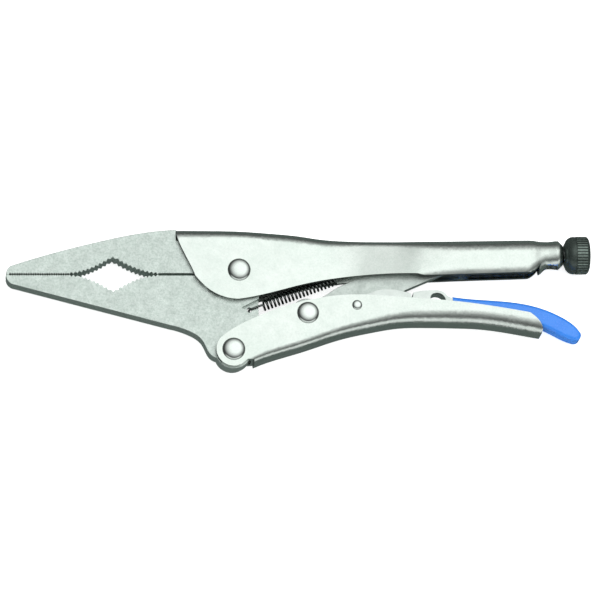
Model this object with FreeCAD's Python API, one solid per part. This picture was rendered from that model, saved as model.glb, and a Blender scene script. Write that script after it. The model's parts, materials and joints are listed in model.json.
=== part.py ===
import FreeCAD, Part
import math
import os

# Locking pliers lying on their side. Lengths are in millimetres.
# Outlines are drawn with the jaw pivot at (0, 0) and z = 0 at mid thickness: x runs from the jaw
# tips towards the screw knob, y from the moving handle towards the fixed one. save() then puts the
# middle of the tool over the origin, with its rivet heads standing on z = 0.

# Overall
JAW_TIP_X = -100.6
KNOB_END_X = 153.9
HANDLE_TOP_Y = 18.5
BOSS_R = 8.0

# Pivots
HANDLE_PIVOT = (-3.0, -35.3)
TOGGLE_PIVOT = (29.5, -19.2)
LEVER_PIVOT = (50.9, -15.8)
LINK_NOSE = (93.6, 5.5)

# Sheet channels
SHEET = 2.5
REAR_SHEET = 2.0
CHANNEL_HALF = 6.7
CHANNEL_INNER = CHANNEL_HALF - SHEET
BEND_R = 1.2
FRONT_BEND_R = 4.8
STATION_STEP = 7.0
NECK_STEP = 1.0
FAR = 60.0

# Jaws
LOWER_JAW_HALF = 4.0
JAW_LINE_Y = -1.5
FINE_PITCH = 1.0
FINE_DEPTH = 0.6
COARSE_START_X = -73.4
COARSE_END_X = -35.2
DIAMOND_X = -54.5
DIAMOND_RISE = 7.4
DIAMOND_POWER = 1.75
COARSE_TEETH = 10
COARSE_DEPTH = 0.85
THROAT_GAP = 0.5
HUB_R = 10.5
HUB_CLEARANCE = 0.5
TANG_REAR_X = 4.0
TANG_TOP_Y = HANDLE_TOP_Y - FRONT_BEND_R - 0.1
TANG_DROP = 0.9

# Spring ear and spring
EAR_HOLE = (4.5, -16.7)
EAR_HOLE_R = 1.1
EAR_HALF = 1.3
ANCHOR_HOLE = (49.0, -0.4)
ANCHOR_HALF = 1.2
SPRING_R = 2.65
SPRING_WIRE_R = 0.45
SPRING_HOOK = 6.3

# Rivets
RIVET_PROUD = 1.6
RIVET_SHANK_R = 3.9
RIVET_HEAD_R = 5.0
TOGGLE_HEAD_R = 4.8
LEVER_SHANK_R = 1.5
LEVER_HEAD_R = 2.2
LEVER_HEAD_PROUD = 1.0
RUNNING = 0.06
BOSS_ROOM = 0.4

# Toggle link and release lever
LINK_HALF = 2.0
LINK_EYE_R = 7.4
LINK_NOSE_R = 4.0
LEVER_SHEET = 1.8
LEVER_HALF = 4.0
LEVER_WEB_X = 75.7
LEVER_EYE_R = 4.2
SLEEVE_FRONT_X = 92.9
SLEEVE_SKIN = 0.6
SLEEVE_ROUND = 1.6
FLAT = 1e-6

# Screw and knob
SCREW_Y = 8.1
SCREW_R = 3.6
SCREW_TIP_X = 100.8
NECK_R = 6.3
NECK_WALL = 1.9
NECK_CHAMFER = 1.9
TUBE_START_X = 139.0
NECK_END_X = 142.0
NECK_ROOT = (122.0, -4.75, 14.53, 7.2, 6.8, 0.0, REAR_SHEET)
EYE_CENTRES = (136.0, 136.8)
EYE_HALF = 3.7
EYE_DEPTH = 2.6
KNOB_FRONT_X = 142.6
KNOB_SEAT_R = 4.4
KNOB_R = 8.28
KNURLS = 40
KNURL_START_X = 147.2
KNURL_DEPTH = 0.38

ORIGIN = FreeCAD.Vector(
    -(JAW_TIP_X + KNOB_END_X) / 2,
    -(HANDLE_TOP_Y + HANDLE_PIVOT[1] - BOSS_R) / 2,
    CHANNEL_HALF + RIVET_PROUD,
)


def vec(x, y, z=0.0):
    return FreeCAD.Vector(x, y, z)


def save(name, shape):
    """Writes one node, moved from the jaw pivot's frame to the tool's own."""
    placed = shape.copy()
    placed.translate(ORIGIN)
    placed.exportStep(f"parts/{name}.step")


def outline(start, *steps):
    """Closed wire: a step is a point, ("arc", through, end) or ("curve", p, ..., end)."""
    edges = []
    here = start
    for step in steps + (start,):
        if step[0] == "arc":
            end = step[2]
            edges.append(Part.Arc(vec(*here), vec(*step[1]), vec(*end)).toShape())
        elif step[0] == "curve":
            end = step[-1]
            spline = Part.BSplineCurve()
            spline.interpolate([vec(*p) for p in (here,) + tuple(step[1:])])
            edges.append(spline.toShape())
        else:
            end = step
            if math.dist(here, end) > 1e-6:
                edges.append(Part.LineSegment(vec(*here), vec(*end)).toShape())
        here = end
    return Part.Wire(edges)


def plate(wire, z_low, z_high):
    """Flat plate of one outline between two heights."""
    face = Part.Face(wire)
    face.translate(vec(0, 0, z_low))
    solid = face.extrude(vec(0, 0, z_high - z_low))
    return solid if solid.Volume > 0 else solid.reversed()


def post(centre, radius, z_low, z_high):
    """Round post or hole standing across the tool."""
    return Part.makeCylinder(radius, z_high - z_low, vec(*centre, z_low))


def on_circle(centre, radius, degrees):
    angle = math.radians(degrees)
    return (centre[0] + radius * math.cos(angle), centre[1] + radius * math.sin(angle))


def revolved(profile, start, direction):
    """Turned solid: profile points are (distance along the axis, radius)."""
    points = [vec(along, radius) for along, radius in profile]
    face = Part.Face(Part.makePolygon(points + [points[0]]))
    solid = face.revolve(vec(0, 0), vec(1, 0), 360)
    solid.Placement = FreeCAD.Placement(start, FreeCAD.Rotation(vec(1, 0), direction))
    return solid


# Channels: lofted through upright sections that are rounded rectangles

def corner(half, low, high, lean, radius):
    """Rounding between the leaning right side and the flat top, as three points (z, y)."""
    rise = high - low
    side = math.hypot(rise, lean)
    centre_y = high - radius
    centre_z = half - (radius * side + (centre_y - low) * lean) / rise
    outward = math.degrees(math.atan2(lean, rise))
    return [on_circle((centre_z, centre_y), radius, a) for a in (outward, (outward + 90) / 2, 90)]


def section(x, low, high, half, radius, lean):
    """Rounded rectangle across the tool at one x, its sides leaning inwards towards the top."""
    top = corner(half, low, high, lean, radius)
    bottom = [(z, low + high - y) for z, y in corner(half, low, high, 0.0, radius)]
    turns = (top, [(-z, y) for z, y in reversed(top)],
             [(-z, y) for z, y in bottom], list(reversed(bottom)))
    edges = []
    for i, turn in enumerate(turns):
        here = turn[2]
        after = turns[(i + 1) % len(turns)][0]
        edges.append(Part.Arc(*[FreeCAD.Vector(x, y, z) for z, y in turn]).toShape())
        edges.append(Part.LineSegment(
            FreeCAD.Vector(x, here[1], here[0]), FreeCAD.Vector(x, after[1], after[0])).toShape())
    return Part.Wire(edges)


def slope(before, here, after, row):
    """Slope of one value at a station, flat where the value turns, so nothing overshoots."""
    left = (here[row] - before[row]) / (here[0] - before[0])
    right = (after[row] - here[row]) / (after[0] - here[0])
    return 2 * left * right / (left + right) if left * right > 0 else 0.0


def eased(stations, step):
    """Stations at close, even steps on smooth curves through the given ones."""
    dense = []
    for i in range(len(stations) - 1):
        a, b = stations[i], stations[i + 1]
        before = stations[i - 1] if i > 0 else None
        after = stations[i + 2] if i + 2 < len(stations) else None
        length = b[0] - a[0]
        steps = max(1, round(length / step))
        for k in range(steps):
            s = k / steps
            values = []
            for row in range(1, len(a)):
                chord = (b[row] - a[row]) / length
                m0 = slope(before, a, b, row) if before else chord
                m1 = slope(a, b, after, row) if after else chord
                values.append(
                    a[row] * (1 + 2 * s) * (1 - s) ** 2 + length * m0 * s * (1 - s) ** 2
                    + b[row] * (3 - 2 * s) * s ** 2 + length * m1 * s ** 2 * (s - 1))
            dense.append((a[0] + length * s, *values))
    return dense + [stations[-1]]


def channel(stations, step=STATION_STEP):
    """Folded sheet: a station is x, low, high, half width, corner radius, lean and wall."""
    outer = []
    inner = []
    for x, low, high, half, radius, lean, wall in eased(stations, step):
        bend = max(radius - wall, BEND_R)
        outer.append(section(x, low, high, half, radius, lean))
        inner.append(section(x, low + wall, high - wall, half - wall, bend, lean))
    return Part.makeLoft(outer, True), Part.makeLoft(inner, True)


def fixed_handle():
    """Channel open below, whose rear end is drawn down to a round neck for the screw."""
    body = [
        (-30, -20, 18.5, CHANNEL_HALF, FRONT_BEND_R, 0.0, SHEET),
        (-5, -20, 18.3, CHANNEL_HALF, FRONT_BEND_R, 0.0, SHEET),
        (22, -18, 16.6, CHANNEL_HALF, 5.2, 0.0, SHEET),
        (40, -13, 14.4, CHANNEL_HALF, 4.8, 1.2, SHEET),
        (54, -9, 13.9, 6.8, 3.6, 3.0, REAR_SHEET),
        (68, -7.5, 13.8, 7.0, 3.9, 2.8, REAR_SHEET),
        (82, -6, 13.9, 7.2, 5.5, 1.1, REAR_SHEET),
        (100, -5.4, 14.2, 7.2, 6.8, 0.0, REAR_SHEET),
        NECK_ROOT,
    ]
    neck = [
        NECK_ROOT,
        (126, -4.5, 14.6, 7.15, 6.75, 0.0, REAR_SHEET),
        (129, -2.6, 14.5, 6.85, 6.45, 0.0, REAR_SHEET),
        (132, -0.1, 14.1, 6.25, 6.0, 0.0, NECK_WALL),
        (135, 1.6, 14.0, 5.95, 5.8, 0.0, NECK_WALL),
        (TUBE_START_X, SCREW_Y - NECK_R, SCREW_Y + NECK_R, NECK_R, NECK_R - 0.1, 0.0, NECK_WALL),
    ]
    side = outline(
        (-26.9, 30),
        (-26.9, 16.0),
        ("curve", (-24.3, 8.9), (-21.5, 3.2), (-19.0, -2.6)),
        ("curve", (-15.9, -6.2), (-12.0, -9.5), (-7.0, -11.9), (-0.35, -13.0)),
        ("curve", (9.1, -11.3), (28.6, -6.3), (49.1, -2.9), (77.5, -1.7)),
        (80.5, -2.4),
        ("curve", (105.9, -1.5), (127.3, -0.8)),
        ("curve", (129.6, 0.5), (131.3, 2.4)),
        (131.5, -30),
        (NECK_END_X, -30),
        (NECK_END_X, 30),
    )
    outer_body, inner_body = channel(body)
    outer_neck, inner_neck = channel(neck, NECK_STEP)
    length = NECK_END_X - TUBE_START_X
    tube_profile = [(0, 0), (0, NECK_R), (length - NECK_CHAMFER, NECK_R),
                    (length, NECK_R - NECK_CHAMFER), (length, 0)]
    tube = revolved(tube_profile, vec(TUBE_START_X, SCREW_Y), vec(1, 0))
    bore = Part.makeCylinder(SCREW_R + RUNNING, length + 2, vec(TUBE_START_X - 1, SCREW_Y), vec(1, 0))
    shell = outer_body.fuse(outer_neck).fuse(tube).cut(inner_body).cut(inner_neck).cut(bore)
    for x in EYE_CENTRES:
        shell = shell.cut(Part.makeCylinder(EYE_HALF, FAR, vec(x, SCREW_Y - EYE_DEPTH), vec(0, -1)))
    return shell.common(plate(side, -FAR, FAR)).cut(post((0, 0), RIVET_SHANK_R, -FAR, FAR))


def moving_handle():
    """Channel open towards the fixed handle, its cheeks forked round the lower jaw's boss."""
    stations = [
        (-16, -58, 30, CHANNEL_HALF, 3.8, 0.0, SHEET),
        (5.9, -41.7, 30, CHANNEL_HALF, 3.8, 0.0, SHEET),
        (27.3, -34.6, 30, CHANNEL_HALF, 4.1, 0.0, SHEET),
        (50, -27.7, 30, CHANNEL_HALF, 4.8, 0.0, SHEET),
        (75, -24.1, 30, 7.1, 6.3, 0.0, REAR_SHEET),
        (100, -24.6, 30, 7.3, 7.0, 0.0, REAR_SHEET),
        (136, -30.0, 30, 7.3, 7.1, 0.0, REAR_SHEET),
    ]
    boss = 7.5
    side = outline(
        on_circle(HANDLE_PIVOT, boss, 137),
        ("arc", on_circle(HANDLE_PIVOT, boss, 225), on_circle(HANDLE_PIVOT, boss, -37)),
        (5.9, -39.8),
        (5.9, -55),
        (129.3, -55),
        (129.3, -29.6),
        ("curve", (131.1, -28.3), (131.6, -26.2), (130.8, -24.0), (128.7, -21.3), (126.0, -19.2)),
        ("curve", (117.3, -17.6), (89.9, -13.8), (72.4, -12.4), (49.9, -11.1), (35.8, -12.4)),
        ("curve", (23.1, -15.2), (9.1, -20.2), (-2.0, -25.6), on_circle(HANDLE_PIVOT, boss, 137)),
    )
    outer, inner = channel(stations)
    shell = outer.cut(inner).common(plate(side, -FAR, FAR))
    for pivot, radius in (
        (HANDLE_PIVOT, RIVET_SHANK_R), (TOGGLE_PIVOT, RIVET_SHANK_R), (LEVER_PIVOT, LEVER_SHANK_R)):
        shell = shell.cut(post(pivot, radius, -FAR, FAR))
    return shell.cut(post(HANDLE_PIVOT, BOSS_R + BOSS_ROOM, -CHANNEL_INNER, CHANNEL_INNER))


# Jaws

def fine_teeth():
    """V teeth from the tip to the coarse ones, as (x, depth behind the jaw line)."""
    count = round((COARSE_START_X - JAW_TIP_X - 1.0) / FINE_PITCH)
    start = COARSE_START_X - count * FINE_PITCH
    points = []
    for i in range(count):
        points.append((start + i * FINE_PITCH, 0.0))
        points.append((start + (i + 0.5) * FINE_PITCH, FINE_DEPTH))
    return points


def diamond_half(end_x):
    """Coarse V teeth on one curved flank, from its end on the jaw line to the apex."""
    def flank(share):
        return (end_x + (DIAMOND_X - end_x) * share, DIAMOND_RISE * share ** DIAMOND_POWER)

    points = []
    for i in range(COARSE_TEETH + 1):
        peak = flank(i / (COARSE_TEETH + 0.5))
        after = flank(min((i + 1) / (COARSE_TEETH + 0.5), 1.0))
        run = math.dist(peak, after)
        lean = ((after[0] - peak[0]) / run, (after[1] - peak[1]) / run)
        side = COARSE_DEPTH * math.copysign(1.0, DIAMOND_X - end_x)
        points.append(peak)
        if i < COARSE_TEETH:
            points.append(((peak[0] + after[0]) / 2 - lean[1] * side,
                           (peak[1] + after[1]) / 2 + lean[0] * side))
    return points + [(DIAMOND_X, DIAMOND_RISE + COARSE_DEPTH / 2)]


def jaw_edge(direction):
    """Toothed edge from tip to throat; direction is +1 for the upper jaw, -1 for the lower."""
    left = diamond_half(COARSE_START_X)
    right = diamond_half(COARSE_END_X)[:-1]
    profile = fine_teeth() + left + right[::-1]
    return [(x, JAW_LINE_Y + direction * depth) for x, depth in profile]


def upper_jaw():
    """Fixed jaw plate: flush with the handle's top in front, its tang inside the channel."""
    lift = JAW_LINE_Y + THROAT_GAP
    tang_r = HUB_R + HUB_CLEARANCE
    arc_start = (-math.sqrt(tang_r ** 2 - lift ** 2), lift)
    arc_end = (TANG_REAR_X, math.sqrt(tang_r ** 2 - TANG_REAR_X ** 2))
    edge = jaw_edge(1)
    wire = outline(
        (JAW_TIP_X, JAW_LINE_Y),
        *edge,
        (COARSE_END_X + 0.6, lift),
        arc_start,
        ("arc", on_circle((0, 0), tang_r, 120), arc_end),
        (TANG_REAR_X, TANG_TOP_Y - TANG_DROP),
        (-26.9, TANG_TOP_Y),
        (-26.9, HANDLE_TOP_Y),
        ("curve", (-42.3, 16.9), (-61.7, 12.8), (-81.3, 7.7), (-97.4, 2.7)),
        ("arc", (-99.7, 1.4), (JAW_TIP_X, -0.6)),
    )
    return plate(wire, -CHANNEL_INNER, CHANNEL_INNER)


def lower_jaw():
    """Swinging jaw plate: hub round the jaw rivet, boss for the moving handle, spring ear."""
    drop = JAW_LINE_Y - THROAT_GAP
    rear_x = 8.5
    hub_start = (-math.sqrt(HUB_R ** 2 - drop ** 2), drop)
    hub_end = (rear_x, math.sqrt(HUB_R ** 2 - rear_x ** 2))
    wire = outline(
        (JAW_TIP_X, JAW_LINE_Y),
        *jaw_edge(-1),
        (COARSE_END_X + 0.6, drop),
        hub_start,
        ("arc", on_circle((0, 0), HUB_R, 100), hub_end),
        (rear_x, -19.8),
        ("curve", (5.4, -26.0), on_circle(HANDLE_PIVOT, BOSS_R, 15)),
        ("arc", on_circle(HANDLE_PIVOT, BOSS_R, -90), on_circle(HANDLE_PIVOT, BOSS_R, 205)),
        ("curve", (-13.0, -37.0), (-16.2, -31.0), (-22.7, -26.4), (-30.0, -24.1)),
        (-96.8, -6.1),
        ("arc", (-99.6, -4.6), (JAW_TIP_X, -2.4)),
    )
    jaw = plate(wire, -LOWER_JAW_HALF, LOWER_JAW_HALF)
    ear = outline((0.9, -16.2), (8.0, -12.6), (12, -12.6), (12, -21.5), (6.5, -21.0))
    for low, high in ((EAR_HALF, FAR), (-FAR, -EAR_HALF)):
        jaw = jaw.cut(plate(ear, low, high))
    jaw = jaw.cut(post(EAR_HOLE, EAR_HOLE_R, -FAR, FAR))
    for pivot in ((0, 0), HANDLE_PIVOT):
        jaw = jaw.cut(post(pivot, RIVET_SHANK_R + RUNNING, -FAR, FAR))
    return jaw


# Rivets

def rivet(centre, shank_r, head_r, proud):
    """Shank right through, with a flat-topped domed head on each cheek."""
    grip = CHANNEL_HALF
    rim = proud * 0.35
    flat = head_r * 0.6
    shoulder = head_r * 0.9
    half = [(0, 0), (0, shank_r), (grip, shank_r), (grip, head_r), (grip + rim, head_r),
            (grip + proud * 0.8, shoulder), (grip + proud, flat), (grip + proud, 0)]
    top = revolved(half, vec(*centre), vec(0, 0, 1))
    bottom = revolved(half, vec(*centre), vec(0, 0, -1))
    return top.fuse(bottom).removeSplitter()


# Linkage

def toggle_link():
    """Bent plate from the moving handle's rivet to the nose that bears on the screw."""
    wire = outline(
        on_circle(TOGGLE_PIVOT, LINK_EYE_R, 70),
        ("curve", (36.2, -11.1), (41.7, -7.6), (46.7, -5.0), (51.7, -2.9)),
        ("curve", (62.0, 0.4), (76.0, 4.8), on_circle(LINK_NOSE, LINK_NOSE_R, 110)),
        ("arc", on_circle(LINK_NOSE, LINK_NOSE_R, 20), on_circle(LINK_NOSE, LINK_NOSE_R, -62)),
        (72.7, -8.0),
        ("curve", (66.0, -11.0), (58.0, -12.6), (50.9, -12.9), (44.0, -14.6),
         on_circle(TOGGLE_PIVOT, LINK_EYE_R, -30)),
        ("arc", on_circle(TOGGLE_PIVOT, LINK_EYE_R, 200), on_circle(TOGGLE_PIVOT, LINK_EYE_R, 70)),
    )
    link = plate(wire, -LINK_HALF, LINK_HALF)
    link = link.fuse(post(TOGGLE_PIVOT, LINK_EYE_R - 0.6, -LOWER_JAW_HALF, LOWER_JAW_HALF))
    return link.cut(post(TOGGLE_PIVOT, RIVET_SHANK_R + RUNNING, -FAR, FAR))


def lever_tail(skin=0.0):
    """Side view of the lever's tail, or of the sleeve that covers it by the skin's thickness."""
    top = [(109.9, -13.6), (125.0, -15.4), (132.5, -17.5), (140.0, -20.9), (145.0, -24.2)]
    bottom = [(141.5, -29.0), (135.0, -25.6), (125.0, -21.6), (110.0, -18.4)]
    return outline(
        (SLEEVE_FRONT_X, -12.0 + skin),
        ("curve", *[(x, y + skin) for x, y in top], (147.9 + skin, -27.8)),
        ("arc", (147.9 + skin / 2, -29.5 - skin / 2), (145.5, -30.4 - skin)),
        ("curve", *[(x, y - skin) for x, y in bottom], (SLEEVE_FRONT_X, -17.8 - skin)),
    )


def lever_side():
    """Side view of the lever from its rivet to the sleeve, with the hump and the raised bridge."""
    return outline(
        on_circle(LEVER_PIVOT, LEVER_EYE_R, 100),
        ("curve", (55.4, -10.3), (60.6, -8.4), (66.0, -8.1), (74.6, -10.0)),
        (74.9, -11.6),
        (75.5, -11.6),
        (75.8, -9.6),
        ("curve", (79.9, -8.7), (84.0, -8.5), (88.0, -8.8), (90.6, -11.0)),
        (SLEEVE_FRONT_X, -12.0),
        (SLEEVE_FRONT_X, -17.8),
        ("curve", (75.0, -18.0), (60.0, -19.6), on_circle(LEVER_PIVOT, LEVER_EYE_R, -80)),
        ("arc", on_circle(LEVER_PIVOT, LEVER_EYE_R, 180), on_circle(LEVER_PIVOT, LEVER_EYE_R, 100)),
    )


def release_lever():
    """Folded sheet, open below, whose front is open above as well for the link."""
    lever = None
    for wire in (lever_side(), lever_tail()):
        solid = plate(wire, -LEVER_HALF, LEVER_HALF)
        pocket = plate(wire, LEVER_SHEET - LEVER_HALF, LEVER_HALF - LEVER_SHEET)
        pocket.translate(vec(0, -LEVER_SHEET))
        part = solid.cut(pocket)
        lever = part if lever is None else lever.fuse(part)
    link_way = Part.makeBox(
        LEVER_WEB_X - 40, 40, 2 * (LEVER_HALF - LEVER_SHEET), vec(40, -30, LEVER_SHEET - LEVER_HALF))
    arch = outline(
        (83.6, -13.6), ("curve", (84.2, -10.2), (86.4, -9.7), (88.6, -10.6), (89.8, -13.6)))
    lever = lever.cut(link_way).removeSplitter().cut(plate(arch, -FAR, FAR))
    return lever.cut(post(LEVER_PIVOT, LEVER_SHANK_R + RUNNING, -FAR, FAR))


def lever_sleeve():
    """Dipped coating over the lever's tail."""
    half = LEVER_HALF + SLEEVE_SKIN
    skin = plate(lever_tail(SLEEVE_SKIN), -half, half)
    rims = [edge for edge in skin.Edges
            if edge.BoundBox.ZLength < FLAT and edge.BoundBox.XLength > FLAT]
    return skin.makeFillet(SLEEVE_ROUND, rims).cut(plate(lever_tail(), -LEVER_HALF, LEVER_HALF))


# Spring

def tension_spring():
    """Outer shape of the close coil, with a straight hook wire to the ear and to the anchor."""
    start = vec(*EAR_HOLE)
    along = vec(*ANCHOR_HOLE) - start
    length = along.Length
    along.normalize()
    coil_length = length - 2 * SPRING_HOOK
    coil_start = start + along * SPRING_HOOK
    coil = Part.makeCylinder(SPRING_R, coil_length, coil_start, along)
    coil = coil.cut(Part.makeCylinder(
        SPRING_R - 2 * SPRING_WIRE_R, coil_length, coil_start, along))
    out = vec(0, 0, SPRING_R - SPRING_WIRE_R)
    for tip, root in ((start, coil_start), (start + along * length, coil_start + along * coil_length)):
        bar = root - tip
        coil = coil.fuse(Part.makeCylinder(SPRING_WIRE_R, bar.Length, tip + out, bar))
        coil = coil.fuse(Part.makeCylinder(SPRING_WIRE_R, 2 * out.z, tip - out, vec(0, 0, 1)))
    return coil


def spring_anchor():
    """Small tab welded under the fixed handle's web, with the hole for the rear hook."""
    wire = outline(
        (46.5, 11.4), (47.2, -0.4), ("arc", (49.0, -2.2), (50.8, -0.4)), (54.0, 11.2))
    tab = plate(wire, -ANCHOR_HALF, ANCHOR_HALF)
    return tab.cut(post(ANCHOR_HOLE, EAR_HOLE_R, -FAR, FAR))


# Screw

def adjusting_screw():
    """Threaded shank at its outer diameter, with a rounded tip."""
    tip = 2.2
    length = KNOB_FRONT_X - SCREW_TIP_X
    profile = [(0, 0), (0, SCREW_R - tip), (tip * 0.3, SCREW_R - tip * 0.3), (tip, SCREW_R),
               (length, SCREW_R), (length, 0)]
    return revolved(profile, vec(SCREW_TIP_X, SCREW_Y), vec(1, 0))


def screw_knob():
    """Knurled head with straight grooves and a domed end."""
    front = [(KNOB_FRONT_X, 0), (KNOB_FRONT_X, KNOB_SEAT_R), (143.0, 5.2), (143.7, 6.6),
             (144.6, 7.6), (145.5, 8.1), (146.2, KNOB_R), (KNURL_START_X, KNOB_R)]
    back = [(KNURL_START_X, KNOB_R), (151.0, KNOB_R), (152.1, 7.9), (153.0, 7.0), (153.6, 5.4),
            (KNOB_END_X, 3.0), (KNOB_END_X, 0)]
    smooth = revolved(front + [(KNURL_START_X, 0)], vec(0, SCREW_Y), vec(1, 0))
    grip = revolved([(KNURL_START_X, 0)] + back, vec(0, SCREW_Y), vec(1, 0))
    rim = []
    for i in range(KNURLS):
        for share, radius in ((0.0, KNOB_R), (0.3, KNOB_R), (0.65, KNOB_R - KNURL_DEPTH)):
            z, y = on_circle((0, SCREW_Y), radius, (i + share - 0.15) * 360 / KNURLS - 90)
            rim.append(FreeCAD.Vector(KNURL_START_X, y, z))
    star = Part.Face(Part.makePolygon(rim + [rim[0]]))
    knurled = grip.common(star.extrude(vec(KNOB_END_X - KNURL_START_X, 0)))
    return smooth.fuse(knurled)


def main():
    os.makedirs("parts", exist_ok=True)
    save("fixed_handle", fixed_handle())
    save("moving_handle", moving_handle())
    save("upper_jaw", upper_jaw())
    save("lower_jaw", lower_jaw())
    save("jaw_pivot_rivet", rivet((0, 0), RIVET_SHANK_R, RIVET_HEAD_R, RIVET_PROUD))
    save("handle_pivot_rivet", rivet(HANDLE_PIVOT, RIVET_SHANK_R, RIVET_HEAD_R, RIVET_PROUD))
    save("toggle_rivet", rivet(TOGGLE_PIVOT, RIVET_SHANK_R, TOGGLE_HEAD_R, RIVET_PROUD))
    save("lever_rivet", rivet(LEVER_PIVOT, LEVER_SHANK_R, LEVER_HEAD_R, LEVER_HEAD_PROUD))
    save("toggle_link", toggle_link())
    save("release_lever", release_lever())
    save("lever_sleeve", lever_sleeve())
    save("tension_spring", tension_spring())
    save("spring_anchor", spring_anchor())
    save("adjusting_screw", adjusting_screw())
    save("screw_knob", screw_knob())


main()
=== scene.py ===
# %% [markdown]
# # Locking pliers, seen from above
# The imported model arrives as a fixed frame, in metres: its rivets, plates and channels already
# have their real places. This lesson dresses that frame. It shows the tool in a small studio
# and gives each part the finish that it has on the bench. It models the pieces whose beauty is
# in their small forms: the rivets, the coil spring, the screw and the knurled knob. Then it
# rounds the edges of the plates and channels.

# %% Load the frame
import json
import math

import bpy
from mathutils import Matrix, Vector


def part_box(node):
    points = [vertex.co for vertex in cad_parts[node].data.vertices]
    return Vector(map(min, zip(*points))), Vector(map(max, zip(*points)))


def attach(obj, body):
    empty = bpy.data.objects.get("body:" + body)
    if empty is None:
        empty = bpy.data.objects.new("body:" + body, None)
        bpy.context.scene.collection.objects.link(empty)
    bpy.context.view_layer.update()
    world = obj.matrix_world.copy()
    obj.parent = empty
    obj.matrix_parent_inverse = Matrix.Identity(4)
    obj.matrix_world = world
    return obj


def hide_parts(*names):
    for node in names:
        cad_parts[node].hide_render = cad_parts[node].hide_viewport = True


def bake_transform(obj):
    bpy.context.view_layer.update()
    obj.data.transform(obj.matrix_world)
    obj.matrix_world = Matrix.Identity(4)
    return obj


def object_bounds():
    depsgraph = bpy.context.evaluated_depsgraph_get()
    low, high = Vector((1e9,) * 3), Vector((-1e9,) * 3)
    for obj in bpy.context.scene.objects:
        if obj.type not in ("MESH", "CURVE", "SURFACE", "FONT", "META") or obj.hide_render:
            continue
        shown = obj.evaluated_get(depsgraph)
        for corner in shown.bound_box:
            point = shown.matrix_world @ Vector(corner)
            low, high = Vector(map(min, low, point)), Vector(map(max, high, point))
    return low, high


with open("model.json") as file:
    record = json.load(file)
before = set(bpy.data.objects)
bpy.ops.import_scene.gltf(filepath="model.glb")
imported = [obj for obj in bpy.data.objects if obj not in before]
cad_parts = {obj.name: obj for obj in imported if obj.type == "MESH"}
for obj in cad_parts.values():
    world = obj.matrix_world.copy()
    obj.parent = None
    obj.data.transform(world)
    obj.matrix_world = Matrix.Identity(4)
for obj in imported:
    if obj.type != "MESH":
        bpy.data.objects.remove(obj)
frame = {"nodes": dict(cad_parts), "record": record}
cad_low, cad_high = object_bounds()
nodes = frame["nodes"]
MM = 0.001
print("nodes", sorted(nodes))
print("tool size in mm", [round(v / MM, 1) for v in cad_high - cad_low])

# %% [markdown]
# ## Camera
# The tool lies on its side and is seen almost from above, a little from the moving handle's
# side. A long lens from far away keeps its two edges parallel. The camera
# is turned so that the tool's length stays level in the picture: a plain "look at" would let
# the picture roll, because the view is so steep.

# %% Add the camera
VIEW_FROM = Vector((-0.09, -0.25, 0.96)).normalized()
VIEW_CENTRE = Vector((0.0001, 0.0006, 0.008))
VIEW_DISTANCE = 2.5
LENS = 346.0

camera_data = bpy.data.cameras.new("camera")
camera_data.lens = LENS
camera_data.clip_start = 0.1
camera = bpy.data.objects.new("camera", camera_data)
bpy.context.scene.collection.objects.link(camera)
level = (Vector((1, 0, 0)) - VIEW_FROM * VIEW_FROM.x).normalized()
turn = Matrix((level, VIEW_FROM.cross(level), VIEW_FROM)).transposed()
camera.matrix_world = Matrix.Translation(VIEW_CENTRE + VIEW_FROM * VIEW_DISTANCE) @ turn.to_4x4()
bpy.context.scene.camera = camera
print("camera stands", round(camera.location.z, 2), "m above the table")

# %% [markdown]
# ## Table and room
# Bright metal has no colour of its own: it shows the room. So the room is the first material.
# One wide white ceiling light hangs where the flat faces mirror it, and the walls are dark
# green-grey, so that each bend of the sheet turns dark where it rolls away and draws the
# tool's edges. The room is painted on the world with a ramp over the angle from the ceiling
# light's middle, which is smoother and quicker than a real lamp behind frosted glass.

# %% Light the room
CEILING_FROM = Vector((0.21, 0.28, 0.94)).normalized()
CEILING_FALLOFF = ((0.20, 0.045), (0.51, 0.11), (0.64, 0.21), (0.80, 0.44), (0.88, 0.64),
                   (0.945, 0.92), (0.985, 1.22))
ROOM_TINT = (0.94, 1.0, 0.97)
SIDE_BAND = ((0.0, 0.0), (0.16, 0.8), (0.40, 0.8), (0.62, 0.0))
FRONT_BAND = ((0.35, 0.0), (0.75, 1.0))
room = bpy.data.worlds.new("room")
room.use_nodes = True
room_nodes, room_links = room.node_tree.nodes, room.node_tree.links


def room_ramp(value, stops, tint=(1, 1, 1)):
    """A ramp over a value: each stop is a position and a brightness, in one tint."""
    ramp = room_nodes.new("ShaderNodeValToRGB")
    while len(ramp.color_ramp.elements) < len(stops):
        ramp.color_ramp.elements.new(0.5)
    for element, (position, brightness) in zip(ramp.color_ramp.elements, stops):
        element.position = position
        element.color = (*(brightness * share for share in tint), 1)
    room_links.new(value, ramp.inputs["Fac"])
    return ramp.outputs["Color"]


def room_mix(kind, first, second):
    """Two colours of the room, multiplied or added."""
    node = room_nodes.new("ShaderNodeMix")
    node.data_type = "RGBA"
    node.blend_type = kind
    node.inputs["Factor"].default_value = 1
    room_links.new(first, node.inputs["A"])
    room_links.new(second, node.inputs["B"])
    return node.outputs["Result"]


direction = room_nodes.new("ShaderNodeTexCoord").outputs["Generated"]
nearness = room_nodes.new("ShaderNodeVectorMath")
nearness.operation = "DOT_PRODUCT"
nearness.inputs[1].default_value = CEILING_FROM
room_links.new(direction, nearness.inputs[0])
overhead = room_ramp(nearness.outputs["Value"], CEILING_FALLOFF, ROOM_TINT)
tilt = math.degrees(CEILING_FROM.angle((0, 0, 1)))
print("ceiling light centred", round(tilt), "degrees off the zenith")

# %% [markdown]
# A second, paler light stands along the moving handle's side, from the table's edge to a third
# of the way up. It draws the light line that runs along the middle of the lower bends.

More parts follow.
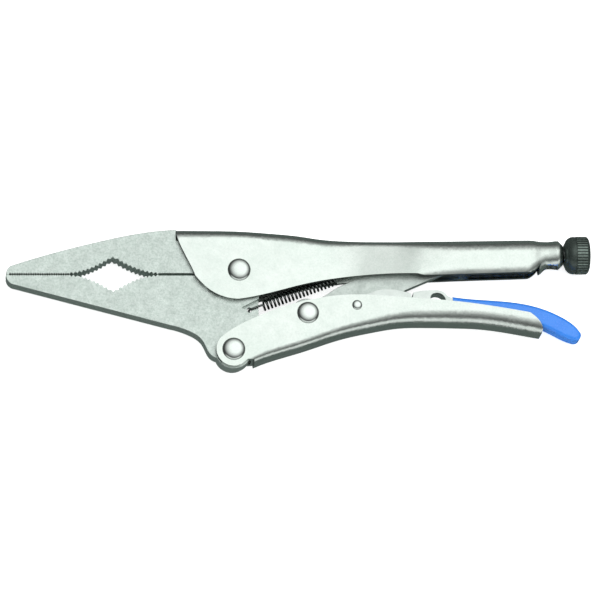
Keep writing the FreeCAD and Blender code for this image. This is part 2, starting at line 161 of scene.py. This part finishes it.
# %% Stand the side light
along = room_nodes.new("ShaderNodeSeparateXYZ")
room_links.new(direction, along.inputs["Vector"])
level_band = room_ramp(along.outputs["Z"], SIDE_BAND, ROOM_TINT)
to_front = room_nodes.new("ShaderNodeMath")
to_front.operation = "MULTIPLY"
to_front.inputs[1].default_value = -1
room_links.new(along.outputs["Y"], to_front.inputs[0])
front_band = room_ramp(to_front.outputs["Value"], FRONT_BAND)
whole_room = room_mix("ADD", overhead, room_mix("MULTIPLY", level_band, front_band))
room_links.new(whole_room, room_nodes["Background"].inputs["Color"])
bpy.context.scene.world = room
bpy.context.scene.view_settings.view_transform = "Standard"
print("world nodes", len(room_nodes))

# %% [markdown]
# One lamp completes the room. It hangs overhead and is hidden from mirrors: it only serves the
# surfaces that scatter light, which are the vinyl, the black oxide and the table.

# %% Hang the lamp
FILL_SIZE = 2.0
FILL_WATTS = 30
FILL_PLACE = (0.1, 0.2, 2.0)
fill_data = bpy.data.lights.new("fill", "AREA")
fill_data.shape = "SQUARE"
fill_data.size = FILL_SIZE
fill_data.energy = FILL_WATTS
fill = bpy.data.objects.new("fill", fill_data)
fill.location = FILL_PLACE
fill.visible_glossy = False
bpy.context.scene.collection.objects.link(fill)
print("lamp of", fill_data.energy, "W at", round(fill.location.z, 1), "m")

# %% [markdown]
# The table is white to look at. Seen in the metal it is dark, as if each part stood on its own
# dark card: such cards are laid round bright metal in a studio to draw its lower edges.

# %% Lay the table
TABLE_SIZE = 6.0
TABLE_GLOW = 0.72
TABLE_WHITE = (0.9, 0.9, 0.9, 1)
TABLE_ROUGHNESS = 0.8
CARD = (0.085, 0.11, 0.10, 1)


def new_material(name):
    """A node material, its nodes and its links."""
    material = bpy.data.materials.new(name)
    material.use_nodes = True
    return material, material.node_tree.nodes, material.node_tree.links


bpy.ops.object.select_all(action="DESELECT")
bpy.ops.mesh.primitive_plane_add(size=TABLE_SIZE, location=(0, 0, cad_low.z))
table = bpy.context.object
table.name = "table"
bpy.ops.object.transform_apply(location=True, rotation=True, scale=True)
table_finish, table_nodes, table_links = new_material("white table")
table_shader = table_nodes["Principled BSDF"]
table_shader.inputs["Base Color"].default_value = TABLE_WHITE
table_shader.inputs["Roughness"].default_value = TABLE_ROUGHNESS
table_shader.inputs["Specular IOR Level"].default_value = 0.0
table_shader.inputs["Emission Color"].default_value = (1, 1, 1, 1)
table_shader.inputs["Emission Strength"].default_value = TABLE_GLOW
card = table_nodes.new("ShaderNodeEmission")
card.inputs["Color"].default_value = CARD
mirrored_ray = table_nodes.new("ShaderNodeLightPath")
either = table_nodes.new("ShaderNodeMixShader")
table_links.new(mirrored_ray.outputs["Is Glossy Ray"], either.inputs["Fac"])
table_links.new(table_shader.outputs["BSDF"], either.inputs[1])
table_links.new(card.outputs["Emission"], either.inputs[2])
table_links.new(either.outputs["Shader"], table_nodes["Material Output"].inputs["Surface"])
table.data.materials.append(table_finish)
print("table at z", round(cad_low.z, 4))


# %% [markdown]
# ## Plated steel
# All the bright parts are the same plated steel, and differ in how they were prepared: the
# forged jaws were blasted and are frosty, the folded handles were tumbled and are smoother,
# the rivets are smoothest. One function makes them all, from four noises: a fine grain in the
# bump, a cloudy stain and a fine speckle in the colour, and uneven polish in the roughness.
# The spring, the screw and the knob are the same recipe in darker tints, and so are the painted
# shade on the handles' cut faces and the painted highlight on the knob's rib crests.

# %% Make the steels
STAIN_SCALE = 70
SPECKLE_SCALE = 1100
SHEEN_SCALE = 260
GRAIN_STRENGTH = 0.6


def pattern_space(material_nodes):
    """Object coordinates, so that a pattern keeps its real size on every part."""
    return material_nodes.new("ShaderNodeTexCoord").outputs["Object"]


def noise(material_nodes, links, place, scale, detail=4.0, roughness=0.55):
    """An even cloud pattern: a larger scale is finer."""
    node = material_nodes.new("ShaderNodeTexNoise")
    node.inputs["Scale"].default_value = scale
    node.inputs["Detail"].default_value = detail
    node.inputs["Roughness"].default_value = roughness
    links.new(place, node.inputs["Vector"])
    return node.outputs["Fac"]


def ranged(material_nodes, links, value, low, high, from_low=0.3, from_high=0.7):
    """Stretches a noise, which rarely leaves its middle, to the range asked for."""
    node = material_nodes.new("ShaderNodeMapRange")
    node.inputs["From Min"].default_value = from_low
    node.inputs["From Max"].default_value = from_high
    node.inputs["To Min"].default_value = low
    node.inputs["To Max"].default_value = high
    links.new(value, node.inputs["Value"])
    return node.outputs["Result"]


def mixed(material_nodes, links, share, first, second):
    """Two colours, mixed by a pattern."""
    node = material_nodes.new("ShaderNodeMix")
    node.data_type = "RGBA"
    node.inputs["A"].default_value = (*first, 1)
    node.inputs["B"].default_value = (*second, 1)
    links.new(share, node.inputs["Factor"])
    return node.outputs["Result"]


def bumped(material_nodes, links, height, strength, distance):
    """A surface that rises and falls with a pattern, by a depth in metres."""
    node = material_nodes.new("ShaderNodeBump")
    node.inputs["Strength"].default_value = strength
    node.inputs["Distance"].default_value = distance
    links.new(height, node.inputs["Height"])
    return node.outputs["Normal"]


def plated_steel(name, light, dark, polish, grain_scale, grain_depth, metallic=1.0, speckled=0.5):
    """Plated steel: two tints, a range of roughness, and the size and depth of its grain."""
    material, its_nodes, links = new_material(name)
    shader = its_nodes["Principled BSDF"]
    shader.inputs["Metallic"].default_value = metallic
    place = pattern_space(its_nodes)
    stain = noise(its_nodes, links, place, STAIN_SCALE, 5)
    speckle = noise(its_nodes, links, place, SPECKLE_SCALE, 3, 0.7)
    stain_and_speckle = its_nodes.new("ShaderNodeMath")
    stain_and_speckle.operation = "MULTIPLY_ADD"
    stain_and_speckle.inputs[1].default_value = 1 - speckled
    links.new(stain, stain_and_speckle.inputs[0])
    speckle_part = its_nodes.new("ShaderNodeMath")
    speckle_part.operation = "MULTIPLY"
    speckle_part.inputs[1].default_value = speckled
    links.new(speckle, speckle_part.inputs[0])
    links.new(speckle_part.outputs["Value"], stain_and_speckle.inputs[2])
    share = ranged(its_nodes, links, stain_and_speckle.outputs["Value"], 0, 1, 0.38, 0.62)
    links.new(mixed(its_nodes, links, share, light, dark), shader.inputs["Base Color"])
    sheen = noise(its_nodes, links, place, SHEEN_SCALE, 5, 0.6)
    links.new(ranged(its_nodes, links, sheen, *polish), shader.inputs["Roughness"])
    grain = noise(its_nodes, links, place, grain_scale, 3)
    links.new(bumped(its_nodes, links, grain, GRAIN_STRENGTH, grain_depth), shader.inputs["Normal"])
    return material


FINISHES = {
    "handle_steel": plated_steel(
        "satin plate", (0.88, 0.90, 0.875), (0.78, 0.825, 0.79), (0.20, 0.27), 1500, 0.00001),
    "jaw_steel": plated_steel(
        "blasted plate", (0.92, 0.97, 0.94), (0.70, 0.77, 0.73), (0.36, 0.46), 2000, 0.0001,
        speckled=0.9),
    "rivet_steel": plated_steel(
        "rivet plate", (0.88, 0.90, 0.88), (0.80, 0.83, 0.81), (0.10, 0.15), 1800, 0.000005),
    "link_steel": plated_steel(
        "link plate", (0.84, 0.88, 0.85), (0.68, 0.73, 0.70), (0.36, 0.46), 2000, 0.00006,
        speckled=0.8),
    "lever_steel": plated_steel(
        "lever plate", (0.86, 0.88, 0.86), (0.76, 0.79, 0.77), (0.26, 0.36), 1500, 0.00002),
    "spring_steel": plated_steel(
        "oiled spring wire", (0.30, 0.32, 0.31), (0.16, 0.17, 0.165), (0.14, 0.24), 1500, 0.00001),
    "screw_steel": plated_steel(
        "oiled thread", (0.34, 0.36, 0.35), (0.18, 0.19, 0.185), (0.20, 0.32), 1500, 0.00001),
    "black_oxide": plated_steel(
        "black oxide", (0.085, 0.105, 0.095), (0.050, 0.064, 0.058), (0.22, 0.34), 1800, 0.00002, 0.5),
}
# Painted highlight: a paler oxide for the knob's rib crests, standing in for the light that they
# catch.
CREST_HIGHLIGHT = plated_steel(
    "crest_highlight oxide", (0.30, 0.36, 0.33), (0.16, 0.20, 0.18), (0.24, 0.36), 1800, 0.00002, 0.7)
# Painted shade: a darker, duller steel for the handles' upright faces that look into the gap between
# them or forward.
SHADE_EDGE = plated_steel(
    "sheared edge", (0.30, 0.33, 0.31), (0.16, 0.18, 0.17), (0.40, 0.55), 1500, 0.00004)
print("steels", len(FINISHES) + 2)

# %% [markdown]
# ## Dipped vinyl
# The lever's tail was dipped in blue vinyl. It is a thick, soft, glossy skin: a saturated
# colour under a clear coat, with only a faint orange peel.

# %% Make the vinyl
VINYL_BLUES = ((0.045, 0.285, 0.97), (0.036, 0.25, 0.93))
VINYL_ROUGHNESS = (0.22, 0.3)
PEEL_SCALE = 420
PEEL_STRENGTH = 0.4
PEEL_DEPTH = 0.00004
vinyl, vinyl_nodes, vinyl_links = new_material("blue dipped vinyl")
vinyl_shader = vinyl_nodes["Principled BSDF"]
vinyl_place = pattern_space(vinyl_nodes)
vinyl_cloud = noise(vinyl_nodes, vinyl_links, vinyl_place, 120)
vinyl_share = ranged(vinyl_nodes, vinyl_links, vinyl_cloud, 0, 1)
vinyl_colour = mixed(vinyl_nodes, vinyl_links, vinyl_share, *VINYL_BLUES)
vinyl_links.new(vinyl_colour, vinyl_shader.inputs["Base Color"])
vinyl_wipe = noise(vinyl_nodes, vinyl_links, vinyl_place, 300)
vinyl_gloss = ranged(vinyl_nodes, vinyl_links, vinyl_wipe, *VINYL_ROUGHNESS)
vinyl_links.new(vinyl_gloss, vinyl_shader.inputs["Roughness"])
orange_peel = noise(vinyl_nodes, vinyl_links, vinyl_place, PEEL_SCALE, 2)
vinyl_peel = bumped(vinyl_nodes, vinyl_links, orange_peel, PEEL_STRENGTH, PEEL_DEPTH)
vinyl_links.new(vinyl_peel, vinyl_shader.inputs["Normal"])
vinyl_shader.inputs["Coat Weight"].default_value = 0.5
vinyl_shader.inputs["Coat Roughness"].default_value = 0.08
FINISHES["blue_dip"] = vinyl
print("vinyl nodes", len(vinyl_nodes))

# %% [markdown]
# ## First dressing
# The record says which finish each part of the frame has. Every part gets it at once, so that
# no part is ever bare, and the pieces that replace parts take the same finish later. The dipped
# sleeve keeps the frame's own shape.

# %% Dress the frame's own parts
slots = {part["node"]: part["material_slot"] for part in frame["record"]["subparts"]}
groups = frame["record"]["behaviour"]["bodies"]
bodies = {node: body for body, members in groups.items() for node in members}
for name, part in nodes.items():
    part.data.materials.clear()
    part.data.materials.append(FINISHES[slots[name]])
print("dressed", len(nodes), "parts")

# %% [markdown]
# ## Places
# New pieces stand where the frame says. A part's box gives its middle, and the jaw rivet's
# middle lies on the plane about which the whole tool is symmetric.

# %% Find the places
def middle(name):
    """The middle of a CAD part's box."""
    low, high = (Vector(corner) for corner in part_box(name))
    return (low + high) / 2


def only(piece):
    """Leaves this piece alone selected and active."""
    bpy.ops.object.select_all(action="DESELECT")
    piece.select_set(True)
    bpy.context.view_layer.objects.active = piece


def stands_for(piece, node):
    """The piece takes over from a CAD part, which is hidden: it is named after the part and takes its
    slot's finish.
    """
    piece.name = piece.data.name = node + "_shape"
    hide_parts(node)
    piece.data.materials.clear()
    piece.data.materials.append(FINISHES[slots[node]])
    print(piece.name, "has", len(piece.data.polygons), "faces")


MID_Z = middle("jaw_pivot_rivet").z
print("mid plane at", round(MID_Z / MM, 2), "mm")

# %% [markdown]
# ## Rivets
# A tubular rivet's head is rolled over by a cupped tool. Its middle is almost flat and its rim
# falls away steeply, which is why it shows a bright spot inside a dark ring. A sphere cut flat
# would curve too evenly for that, so the head is grown ring by ring from a circle, each ring
# drawn in and lifted, and the other head is its mirror image.

# %% Grow the rivets
RIVET_SIDES = 64
SHANK_HALF = 6.7 * MM
SHANK_R = 3.9 * MM
LEVER_SHANK_R = 1.5 * MM
RIVET_PROUD = 1.6 * MM
LEVER_PROUD = 1.0 * MM
DOME = ((1.0, 0.02), (0.975, 0.24), (0.925, 0.45), (0.85, 0.64), (0.75, 0.79), (0.61, 0.90),
        (0.42, 0.965), (0.20, 0.985), (0.06, 0.99))


def ring_step(lift, ratio, centre):
    """Grows the selected open ring by one more, lifted and then scaled about the axis."""
    bpy.ops.mesh.extrude_region_move(TRANSFORM_OT_translate={"value": (0, 0, lift)})
    bpy.ops.transform.resize(value=(ratio, ratio, 1), center_override=centre)


def domed_rivet(node, shank, proud):
    """A rivet along Z, with a rolled head on each side."""
    place = middle(node)
    low, high = (Vector(corner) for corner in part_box(node))
    head = (high.x - low.x) / 2
    bpy.ops.object.select_all(action="DESELECT")
    bpy.ops.mesh.primitive_circle_add(
        vertices=RIVET_SIDES, radius=shank, fill_type="NOTHING", location=(place.x, place.y, MID_Z))
    piece = bpy.context.object
    bpy.ops.object.mode_set(mode="EDIT")
    bpy.ops.mesh.select_all(action="SELECT")
    ring_step(SHANK_HALF, 1, place)
    ring_step(0, head / shank, place)
    radius, height = head, 0.0
    for share, rise in DOME:
        ring_step(rise * proud - height, share * head / radius, place)
        radius, height = share * head, rise * proud
    bpy.ops.mesh.edge_face_add()
    bpy.ops.object.mode_set(mode="OBJECT")
    mirror = piece.modifiers.new("other head", "MIRROR")
    mirror.use_axis = (False, False, True)
    bpy.ops.object.modifier_apply(modifier=mirror.name)
    bpy.ops.object.transform_apply(location=True, rotation=True, scale=True)
    bpy.ops.object.mode_set(mode="EDIT")
    bpy.ops.mesh.select_all(action="SELECT")
    bpy.ops.mesh.normals_make_consistent(inside=False)
    bpy.ops.object.mode_set(mode="OBJECT")
    bpy.ops.object.shade_smooth_by_angle(angle=math.radians(50))
    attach(piece, bodies[node])
    stands_for(piece, node)


for rivet in ("jaw_pivot_rivet", "handle_pivot_rivet", "toggle_rivet"):
    domed_rivet(rivet, SHANK_R, RIVET_PROUD)
domed_rivet("lever_rivet", LEVER_SHANK_R, LEVER_PROUD)

# %% [markdown]
# ## Opening spring
# A close coil of thin wire, with a long hook at each end: one hook sits in the ear of the lower
# jaw, the other in the tab inside the fixed handle. The whole spring is one wire, so it is made
# as one smooth curve: out of the ear, up the coil, into the tab. The wire's thickness is the
# curve's bevel.

# %% Wind the spring
SPRING_WIRE = 0.48 * MM
SPRING_COIL = 2.15 * MM
EAR_HOLE = Vector((-22.15 * MM, -4.3 * MM, MID_Z))
TAB_HOLE = Vector((22.35 * MM, 12.0 * MM, MID_Z))
HOOK_REACH = 6.3 * MM
TURNS = 21
POINTS_A_TURN = 12
along_spring = (TAB_HOLE - EAR_HOLE).normalized()
across_spring = Vector((0, 0, 1))
beside_spring = along_spring.cross(across_spring)


def spring_hook(hole, inwards):
    """Points of one hook, from the wire's end below the hole to the start of the coil."""
    return [
        hole + inwards * (0.2 * MM) - across_spring * (2.1 * MM),
        hole - inwards * (0.1 * MM) - across_spring * (1.5 * MM),
        hole - inwards * (0.2 * MM),
        hole + inwards * (0.1 * MM) + across_spring * (1.6 * MM),
        hole + inwards * (1.2 * MM) + across_spring * SPRING_COIL,
        hole + inwards * (HOOK_REACH - 1.4 * MM) + across_spring * SPRING_COIL,
    ]


coil_start = EAR_HOLE + along_spring * HOOK_REACH
coil_end = TAB_HOLE - along_spring * HOOK_REACH
wire_points = spring_hook(EAR_HOLE, along_spring)
for i in range(TURNS * POINTS_A_TURN + 1):
    turn_angle = 2 * math.pi * i / POINTS_A_TURN
    on_axis = coil_start.lerp(coil_end, i / (TURNS * POINTS_A_TURN))
    wire_points.append(
        on_axis
        + (across_spring * math.cos(turn_angle) + beside_spring * math.sin(turn_angle)) * SPRING_COIL)
wire_points += reversed(spring_hook(TAB_HOLE, -along_spring))

wire_curve = bpy.data.curves.new("spring_wire", "CURVE")
wire_curve.dimensions = "3D"
wire_curve.bevel_depth = SPRING_WIRE
wire_curve.bevel_resolution = 3
wire_curve.resolution_u = 3
wire_curve.use_fill_caps = True
wire_line = wire_curve.splines.new("NURBS")
wire_line.points.add(len(wire_points) - 1)
for point, place in zip(wire_line.points, wire_points):
    point.co = (*place, 1)
wire_line.order_u = 4
wire_line.use_endpoint_u = True
spring = bpy.data.objects.new("spring_wire", wire_curve)
bpy.context.scene.collection.objects.link(spring)
only(spring)
bpy.ops.object.convert(target="MESH")
spring = bpy.context.object
bpy.ops.object.shade_smooth()
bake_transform(spring)
stands_for(spring, "tension_spring")
print("pitch", round((coil_end - coil_start).length / TURNS / MM, 2), "mm")

# %% [markdown]
# ## Screw
# The adjusting screw is threaded all along. A real thread is a V wound round the shank, and the
# Screw modifier winds it in the same way: a V one pitch long, turned about the axis while it
# moves on by one pitch. The V comes from a plane: one side is drawn in to the narrow crest, and
# the opposite side, which lies in the root, is deleted. The two ends of the wound thread are
# cut square, and the front end is rounded.

# %% Cut the thread
SCREW_PITCH = 1.27 * MM
SCREW_CREST = 3.58 * MM
SCREW_ROOT = 2.95 * MM
THREAD_STEPS = 36
CREST_SHARE = 0.12
TIP_LENGTH = 1.6 * MM
TIP_STEPS = ((0.7, 0.92), (0.5, 0.80), (0.3, 0.6))
screw_low, screw_high = (Vector(corner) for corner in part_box("adjusting_screw"))
screw_axis = middle("adjusting_screw")
thread_start = screw_low.x + TIP_LENGTH
thread_length = screw_high.x - thread_start
bpy.ops.object.select_all(action="DESELECT")
flank_middle = Vector(((SCREW_ROOT + SCREW_CREST) / 2, 0, SCREW_PITCH / 2))
bpy.ops.mesh.primitive_plane_add(
    size=SCREW_PITCH, location=flank_middle, rotation=(math.pi / 2, 0, 0))
screw = bpy.context.object
bpy.ops.object.transform_apply(location=True, rotation=True, scale=True)
bpy.ops.object.mode_set(mode="EDIT")
bpy.ops.mesh.select_all(action="SELECT")
bpy.ops.transform.resize(
    value=((SCREW_CREST - SCREW_ROOT) / SCREW_PITCH, 1, 1), center_override=flank_middle)
bpy.ops.mesh.select_all(action="DESELECT")
bpy.ops.object.mode_set(mode="OBJECT")
for corner in screw.data.vertices:
    corner.select = corner.co.x > flank_middle.x
bpy.ops.object.mode_set(mode="EDIT")
bpy.ops.transform.resize(value=(1, 1, CREST_SHARE), center_override=flank_middle)
bpy.ops.mesh.select_all(action="INVERT")
bpy.ops.mesh.delete(type="EDGE_FACE")
bpy.ops.object.mode_set(mode="OBJECT")
print("profile of", len(screw.data.vertices), "corners and", len(screw.data.edges), "edges")
winding = screw.modifiers.new("thread", "SCREW")
winding.axis = "Z"
winding.angle = 2 * math.pi
winding.screw_offset = SCREW_PITCH
winding.iterations = math.ceil(thread_length / SCREW_PITCH) + 2
winding.steps = winding.render_steps = THREAD_STEPS
winding.use_merge_vertices = True
winding.merge_threshold = 0.001 * MM
bpy.ops.object.modifier_apply(modifier=winding.name)
screw.rotation_euler = (0, math.pi / 2, 0)
screw.location = (thread_start - 1.5 * SCREW_PITCH, screw_axis.y, screw_axis.z)
bpy.ops.object.transform_apply(location=True, rotation=True, scale=True)
bpy.ops.object.mode_set(mode="EDIT")
bpy.ops.mesh.select_all(action="SELECT")
bpy.ops.mesh.remove_doubles(threshold=0.002 * MM)
bpy.ops.mesh.bisect(
    plane_co=(screw_high.x, 0, 0), plane_no=(1, 0, 0), use_fill=True, clear_outer=True)
bpy.ops.mesh.select_all(action="SELECT")
bpy.ops.mesh.bisect(
    plane_co=(thread_start, 0, 0), plane_no=(-1, 0, 0), use_fill=True, clear_outer=True)
for step, ratio in TIP_STEPS:
    bpy.ops.mesh.extrude_region_move(TRANSFORM_OT_translate={"value": (-step * MM, 0, 0)})
    bpy.ops.transform.resize(value=(1, ratio, ratio), center_override=screw_axis)
bpy.ops.mesh.select_all(action="SELECT")
bpy.ops.mesh.normals_make_consistent(inside=False)
bpy.ops.object.mode_set(mode="OBJECT")
bpy.ops.object.shade_smooth_by_angle(angle=math.radians(35))
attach(screw, bodies["adjusting_screw"])
stands_for(screw, "adjusting_screw")
print("threads", round(thread_length / SCREW_PITCH))

# %% [markdown]
# ## Knob
# The knob is turned from bar: a smooth shoulder towards the neck, a band of straight knurling
# for the fingers, and a domed end. Its profile is grown ring by ring like the rivets' heads,
# with twice as many sides as there are ribs. Every second face of the band is then sunk, and
# what stays up are the ribs, whose crests get a paler oxide: a painted highlight.

# %% Turn the knob
KNOB_RIBS = 40
RIB_SINK = 0.42 * MM
RIB_LAND = 0.10 * MM
BAND_MIDDLE = 0.66
BAND_REACH = 0.05
knob_low, knob_high = (Vector(corner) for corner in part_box("screw_knob"))
knob_axis = middle("screw_knob")
KNOB_R = (knob_high.z - knob_low.z) / 2 - 0.02 * MM
KNOB_PROFILE = (
    (0.0, 0.53), (0.035, 0.62), (0.085, 0.78), (0.16, 0.895), (0.25, 0.965), (0.34, 0.99),
    (0.42, 0.99), (0.43, 0.965), (0.455, 0.965), (0.465, 1.0), (0.86, 1.0), (0.905, 0.965),
    (0.945, 0.89), (0.975, 0.78), (0.993, 0.62), (1.0, 0.42), (1.0, 0.1))
knob_length = knob_high.x - knob_low.x
bpy.ops.object.select_all(action="DESELECT")
bpy.ops.mesh.primitive_circle_add(
    vertices=2 * KNOB_RIBS, radius=KNOB_R * KNOB_PROFILE[0][1], fill_type="NGON",
    location=(knob_low.x, knob_axis.y, knob_axis.z), rotation=(0, math.pi / 2, 0))
knob = bpy.context.object
bpy.ops.object.transform_apply(location=True, rotation=True, scale=True)
bpy.ops.object.mode_set(mode="EDIT")
bpy.ops.mesh.select_all(action="SELECT")
for (here, radius), (there, next_radius) in zip(KNOB_PROFILE, KNOB_PROFILE[1:]):
    ratio = next_radius / radius
    bpy.ops.mesh.extrude_region_move(
        TRANSFORM_OT_translate={"value": ((there - here) * knob_length, 0, 0)})
    bpy.ops.transform.resize(value=(1, ratio, ratio), center_override=knob_axis)
bpy.ops.mesh.select_all(action="SELECT")
bpy.ops.mesh.normals_make_consistent(inside=False)
bpy.ops.mesh.select_mode(type="FACE")
bpy.ops.mesh.select_all(action="DESELECT")
bpy.ops.object.mode_set(mode="OBJECT")
band_x = knob_low.x + BAND_MIDDLE * knob_length
band_reach = BAND_REACH * knob_length
band = [face for face in knob.data.polygons if abs(face.center.x - band_x) < band_reach]
band.sort(key=lambda face: math.atan2(face.center.z - knob_axis.z, face.center.y - knob_axis.y))
for face in band[::2]:
    face.select = True
bpy.ops.object.mode_set(mode="EDIT")
bpy.ops.mesh.inset(thickness=RIB_LAND, depth=-RIB_SINK, use_individual=True)
bpy.ops.mesh.select_mode(type="VERT")
bpy.ops.object.mode_set(mode="OBJECT")
bpy.ops.object.shade_smooth_by_angle(angle=math.radians(28))
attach(knob, bodies["screw_knob"])
stands_for(knob, "screw_knob")
# Painted highlight: the rib crests take the paler oxide.
knob.data.materials.append(CREST_HIGHLIGHT)
for face in knob.data.polygons:
    reach = math.hypot(face.center.y - knob_axis.y, face.center.z - knob_axis.z)
    if abs(face.center.x - band_x) < band_reach and reach > KNOB_R - RIB_SINK / 2:
        face.material_index = 1
print("ribs", len(band) // 2)

# %% [markdown]
# ## Softened edges
# Nothing that is blanked, forged or folded has a knife edge: tumbling and plating round every
# corner a little, and that thin round is what catches the light. The CAD plates are copied,
# their loose triangles are merged to one skin, and a narrow bevel goes on every sharp corner.
# On the handles, the upright faces that look into the gap between them, and the front ends, get
# a dull, darker steel: painted shade.

# %% Soften the plates
FLAT_JOIN = math.radians(0.5)
MERGE_REACH = 0.002 * MM
SMOOTH_BELOW = math.radians(40)
UPRIGHT = 0.02
END_FACING = -0.7


def softened(node, width, corner, shade_side=0):
    """A copy of a CAD part with its sharp corners rounded; upright faces that look to the shade side,
    -Y or +Y, or forward get painted shade.
    """
    piece = bpy.data.objects.new(node, nodes[node].data.copy())
    bpy.context.scene.collection.objects.link(piece)
    only(piece)
    bpy.ops.object.mode_set(mode="EDIT")
    bpy.ops.mesh.select_all(action="SELECT")
    bpy.ops.mesh.remove_doubles(threshold=MERGE_REACH)
    bpy.ops.mesh.dissolve_limited(angle_limit=FLAT_JOIN)
    bpy.ops.object.mode_set(mode="OBJECT")
    bevel = piece.modifiers.new("soft edge", "BEVEL")
    bevel.width = width
    bevel.segments = 2
    bevel.limit_method = "ANGLE"
    bevel.angle_limit = math.radians(corner)
    bpy.ops.object.modifier_apply(modifier=bevel.name)
    bpy.ops.object.shade_smooth_by_angle(angle=SMOOTH_BELOW)
    levelled = piece.modifiers.new("level faces", "WEIGHTED_NORMAL")
    levelled.weight = 100
    levelled.keep_sharp = True
    bpy.ops.object.modifier_apply(modifier=levelled.name)
    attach(piece, bodies[node])
    stands_for(piece, node)
    # Painted shade: upright faces on the shade side, and those looking forward, take the darker steel.
    if shade_side:
        piece.data.materials.append(SHADE_EDGE)
        for face in piece.data.polygons:
            painted_shade = face.normal.y * shade_side > 0.0 or face.normal.x < END_FACING
            if painted_shade and abs(face.normal.z) < UPRIGHT:
                face.material_index = 1


softened("upper_jaw", 0.22 * MM, 50)
softened("lower_jaw", 0.22 * MM, 50)
softened("toggle_link", 0.2 * MM, 50)
softened("release_lever", 0.15 * MM, 50)
softened("spring_anchor", 0.12 * MM, 50)
softened("fixed_handle", 0.2 * MM, 60, shade_side=-1)
softened("moving_handle", 0.2 * MM, 60, shade_side=1)
